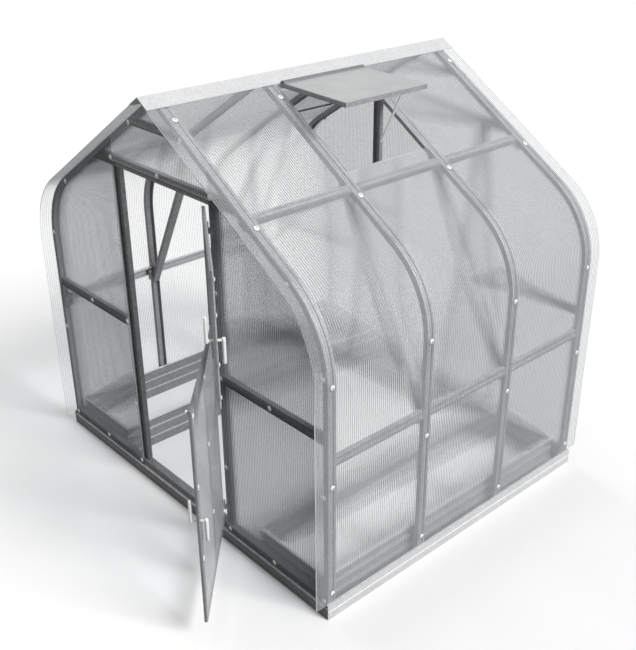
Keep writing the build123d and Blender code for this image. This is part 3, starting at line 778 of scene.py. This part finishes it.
wall_edge = HALF_WIDTH - SHEET - WALL_GAP
front_spans = [
    (-wall_edge, -SHEET_EDGE - END_GAP, END_FOOT),
    (SHEET_EDGE + END_GAP, wall_edge, END_FOOT),
    (-SHEET_EDGE + TOP_GAP, SHEET_EDGE - TOP_GAP, HEADER_MIDDLE),
]
back_spans = [(-wall_edge, wall_edge, END_FOOT)]
put(gable_ribs("front_flutes", -SHEET / 2, front_spans), "building")
put(gable_ribs("back_flutes", FRAME_LENGTH + SHEET / 2, back_spans), "building")
for leaf, (foot, head, angle) in LEAVES.items():
    count = int((LEAF_WIDTH - LEAF_GAP) / FLUTE_PITCH)
    start = HINGE_GAP + (LEAF_WIDTH - count * FLUTE_PITCH) / 2
    spots = [leaf_point(angle, start + i * FLUTE_PITCH, foot + RIB_INSET, LEAF_OUTER + SHEET / 2)
             for i in range(count + 1)]
    rises = [head - foot - 2 * RIB_INSET] * len(spots)
    ribs = upright_ribs(f"{leaf}_leaf_flutes", spots, rises, [angle] * len(spots))
    put(ribs, f"{leaf}_leaf")

# Washers and screws that hold the sheets


def screws(name, spots, sizes, finish):
    """Screws on their washers at (place, facing) pairs."""
    points = points_mesh(name + "_points", [s[0] for s in spots], facing=[s[1] for s in spots])
    return grow(name, points, WASHER_TREE, {**sizes, "Washer finish": finish, "Head finish": HINGE_STEEL})


side_spots = []
for place in ARCHES:
    for run in ARCH_WASHERS:
        (x, z), (nx, nz) = skin_point(run, 0.0)
        side_spots += [((side * x, place, z), (side * nx, 0.0, nz)) for side in (-1, 1)]
gable_spots = [(side * x, z) for x, z in GABLE_WASHERS for side in (-1, 1)]
gable_spots += [(0.0, HEADER_WASHER)]
gable_spots += [(side * POST_WASHER_REACH, z) for z in POST_WASHERS for side in (-1, 1)]
front_spots = [((x, -SHEET, z), (0.0, -1.0, 0.0)) for x, z in gable_spots]
back_spots = [((x, FRAME_LENGTH + SHEET, z), (0.0, 1.0, 0.0)) for x, z in gable_spots]
sheet_spots = side_spots + front_spots + back_spots
put(screws("sheet_washers", sheet_spots, WASHER_SIZES, WASHER_WHITE), "building")
for leaf, places in LEAF_WASHERS.items():
    _, _, angle = LEAVES[leaf]
    outward = (math.sin(angle), -math.cos(angle), 0.0)
    spots = [(leaf_point(angle, along, height, LEAF_OUTER), outward) for along, height in places]
    put(screws(f"{leaf}_leaf_washers", spots, WASHER_SIZES, WASHER_WHITE), f"{leaf}_leaf")

# Latches and the knob of the lower leaf


def turned(rings, sides, place):
    """Closed body of rings (station, half across, half through).

    Place maps (station, across, through) to a point.
    """
    verts, faces = [], []
    for station, across, through in rings:
        for i in range(sides):
            t = 2 * math.pi * i / sides
            verts.append(place(station, across * math.cos(t), through * math.sin(t)))
    for r in range(len(rings) - 1):
        for i in range(sides):
            j = (i + 1) % sides
            faces.append((r * sides + i, r * sides + j, (r + 1) * sides + j, (r + 1) * sides + i))
    faces += [tuple(range(sides)), tuple(range((len(rings) - 1) * sides, len(rings) * sides))]
    return verts, faces


def lever(angle, middle, inwards, way):
    """Lever on a latch's spindle, down for a way of -1 and up for 1."""
    return turned(LEVER, LEVER_SIDES, lambda station, across, through: leaf_point(
        angle, LATCH_REACH + across, middle + way * station, inwards + through))


def round_piece(rings, angle, height):
    """Round piece through a leaf at the latch stile, of (inwards, radius) rings."""
    return turned([(s, r, r) for s, r in rings], ROUND_SIDES, lambda station, across, through: leaf_point(
        angle, LATCH_REACH + across, height + through, station))


for leaf, (foot, head, angle) in LEAVES.items():
    middle = (foot + head) / 2
    spindle = [(SPINDLE_START + SPINDLE_INSET, SPINDLE_RADIUS), (SPINDLE_END - SPINDLE_INSET, SPINDLE_RADIUS)]
    shapes = [
        lever(angle, middle, SPINDLE_START + OUTER_LEVER_SEAT, -1),
        lever(angle, middle, SPINDLE_END - INNER_LEVER_SEAT, 1),
        round_piece(spindle, angle, middle),
    ]
    latch = put(several(f"{leaf}_latch_levers", shapes, WHITE_MOULDED), f"{leaf}_latch_arm")
    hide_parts(f"{leaf}_latch")
_, lower_head, lower_angle = LEAVES["lower"]
knob = round_piece([(LEAF_INNER + s, r) for s, r in KNOB], lower_angle, lower_head - KNOB_DROP)
put(several("lower_leaf_knob", [knob], WHITE_MOULDED), "lower_leaf")

# Joint plates under the purlins with their bolts, clips, and the bead over the vent's hinge


def plate(start, end, runs, side, low=0.0, high=PLATE_WALL):
    """Flat plate under the inner face of the frame, between two places along the building and two runs."""
    verts = []
    for place in (start, end):
        for run in runs:
            for depth in (PLATE_DEPTH + low, PLATE_DEPTH + high):
                (x, z), _ = skin_point(run, depth)
                verts.append((side * x, place, z))
    faces = [(0, 1, 3, 2), (4, 6, 7, 5), (0, 4, 5, 1), (2, 3, 7, 6), (0, 2, 6, 4), (1, 5, 7, 3)]
    return verts, faces


plates, bolt_spots = [], []
for i, place in enumerate(ARCHES):
    way = 1 if i == 0 else -1
    start, end = sorted((place - way * ARCH_WIDTH / 2, place + way * (ARCH_WIDTH / 2 + PLATE_REACH)))
    for side in (-1, 1):
        plates += [plate(start, end, runs, side) for runs in (ROOF_PLATE, WALL_PLATE)]
        for run in PLATE_BOLTS:
            (x, z), (nx, nz) = skin_point(run, PLATE_DEPTH + PLATE_WALL)
            for spot in (place, place + way * (ARCH_WIDTH / 2 + BOLT_REACH)):
                bolt_spots.append(((side * x, spot, z), (-side * nx, 0.0, -nz)))
put(several("joint_plates", plates, SHADED_PLATE_STEEL), "building")
clip_web = (("roof", CLIP_TOP), ("roof", CLIP_TOP + CLIP_WALL))
clip_runs = (("roof", CLIP_TOP + CLIP_WALL), ("roof", CLIP_FOOT))
clips = []
for side in (-1, 1):
    for outer, inner in ((CLIP_OUTER, CLIP_INNER), (FRAME_LENGTH - CLIP_OUTER, FRAME_LENGTH - CLIP_INNER)):
        start, end = sorted((outer, inner))
        cheek = sorted((outer, outer + math.copysign(CLIP_WALL, inner - outer)))
        clips += [
            plate(start, end, clip_web, side, 0.0, CLIP_DROP),
            plate(start, end, clip_runs, side, CLIP_DROP - CLIP_WALL, CLIP_DROP),
            plate(*cheek, clip_runs, side, CLIP_WALL, CLIP_DROP - CLIP_WALL),
        ]
put(several("purlin_clips", clips, SHADED_PLATE_STEEL), "building")
lean, level = math.sin(VENT_DROOP), math.cos(VENT_DROOP)
bead_verts, count = [], len(BEAD)
for end in (-BEAD_HALF, BEAD_HALF):
    for along, rise in BEAD:
        along, rise = along + BEAD_ALONG, rise + BEAD_RISE
        bead_verts.append(VENT_ROD + Vector((along * level + rise * lean, end, rise * level - along * lean)))
bead_faces = [(i, i + 1, count + i + 1, count + i) for i in range(count - 1)]
bead_faces += [(count - 1, 0, count, 2 * count - 1), tuple(range(count)), tuple(range(count, 2 * count))]
put(several("vent_hinge_bead", [(bead_verts, bead_faces)], SHADED_PLATE_STEEL), "building")
for foot, head, _ in LEAVES.values():
    for height in (foot + STRAP_INSET, head - STRAP_INSET):
        bolt_spots += [((WING_MIDDLE, POST_FACE, height - drop), (0.0, -1.0, 0.0)) for drop in STRAP_BOLTS]
put(screws("frame_bolts", bolt_spots, BOLT_SIZES, HINGE_STEEL), "building")

# Camera, lights, floor and background


def look_camera():
    """Camera of the photographed view."""
    level = math.cos(CAMERA_ELEVATION)
    aside, ahead = math.sin(CAMERA_AZIMUTH) * level, -math.cos(CAMERA_AZIMUTH) * level
    back = Vector((aside, ahead, math.sin(CAMERA_ELEVATION)))
    right = (-back).cross(Vector((0, 0, 1))).normalized()
    up = right.cross(-back)
    cos, sin = math.cos(CAMERA_ROLL), math.sin(CAMERA_ROLL)
    right, up = (cos * right + sin * up, cos * up - sin * right)
    data = bpy.data.cameras.new("view")
    data.lens = CAMERA_LENS
    data.sensor_width = CAMERA_SENSOR
    data.sensor_fit = "AUTO"
    data.clip_end = CAMERA_FAR
    camera = bpy.data.objects.new("view", data)
    turn = Matrix((right, up, back)).transposed().to_4x4()
    camera.matrix_world = Matrix.Translation(CAMERA_PLACE) @ turn
    bpy.context.scene.collection.objects.link(camera)
    bpy.context.scene.camera = camera


def lamp(name, strength, spread, towards):
    """Soft sun from a direction."""
    data = bpy.data.lights.new(name, "SUN")
    data.energy = strength
    data.angle = math.radians(spread)
    light = bpy.data.objects.new(name, data)
    light.rotation_euler = Vector(towards).to_track_quat("Z", "Y").to_euler()
    bpy.context.scene.collection.objects.link(light)


def sight_mix(tree):
    """One for rays that show the background: sight, gloss and glass."""
    path = node(tree, "ShaderNodeLightPath")
    seen = maths(tree, "MAXIMUM", path.outputs["Is Camera Ray"], path.outputs["Is Glossy Ray"])
    return maths(tree, "MAXIMUM", seen, path.outputs["Is Transmission Ray"])


def shown_and_lit(owner, output_kind, shader, socket, lit, shown):
    """Give a world or floor one shader for sight and another for its light on the object."""
    tree, output = bare_tree(owner, output_kind)
    lit_by = node(tree, shader, lit).outputs[socket]
    seen_as = node(tree, shader, shown).outputs[socket]
    tree.links.new(mix_shaders(tree, sight_mix(tree), lit_by, seen_as), output.inputs["Surface"])


def studio():
    """White surround, pale floor that keeps the shadow, soft light from the right and a fill from the left."""
    white = (1.0, 1.0, 1.0, 1.0)
    world = bpy.data.worlds.new("studio")
    bpy.context.scene.world = world
    shown_and_lit(world, "ShaderNodeOutputWorld", "ShaderNodeBackground", "Background",
                  {"Color": white, "Strength": WORLD_DIM}, {"Color": white, "Strength": 1.0})
    mat = bpy.data.materials.new("pale_floor")
    shown_and_lit(mat, "ShaderNodeOutputMaterial", "ShaderNodeBsdfDiffuse", "BSDF",
                  {"Color": (FLOOR_LOW, FLOOR_LOW, FLOOR_LOW, 1.0)},
                  {"Color": (FLOOR_PALE, FLOOR_PALE, FLOOR_PALE, 1.0)})
    corners = [(x * FLOOR_HALF, y * FLOOR_HALF, FLOOR_HEIGHT) for x, y in ((-1, -1), (1, -1), (1, 1), (-1, 1))]
    floor = bpy.data.objects.new("floor", mesh_of("floor", corners, [(0, 1, 2, 3)], [mat]))
    bpy.context.scene.collection.objects.link(floor)
    for name, strength, spread, towards in LAMPS:
        lamp(name, strength, spread, towards)


look_camera()
studio()
bpy.context.scene.view_settings.view_transform = "Standard"
bpy.context.scene.cycles.transparent_max_bounces = 48
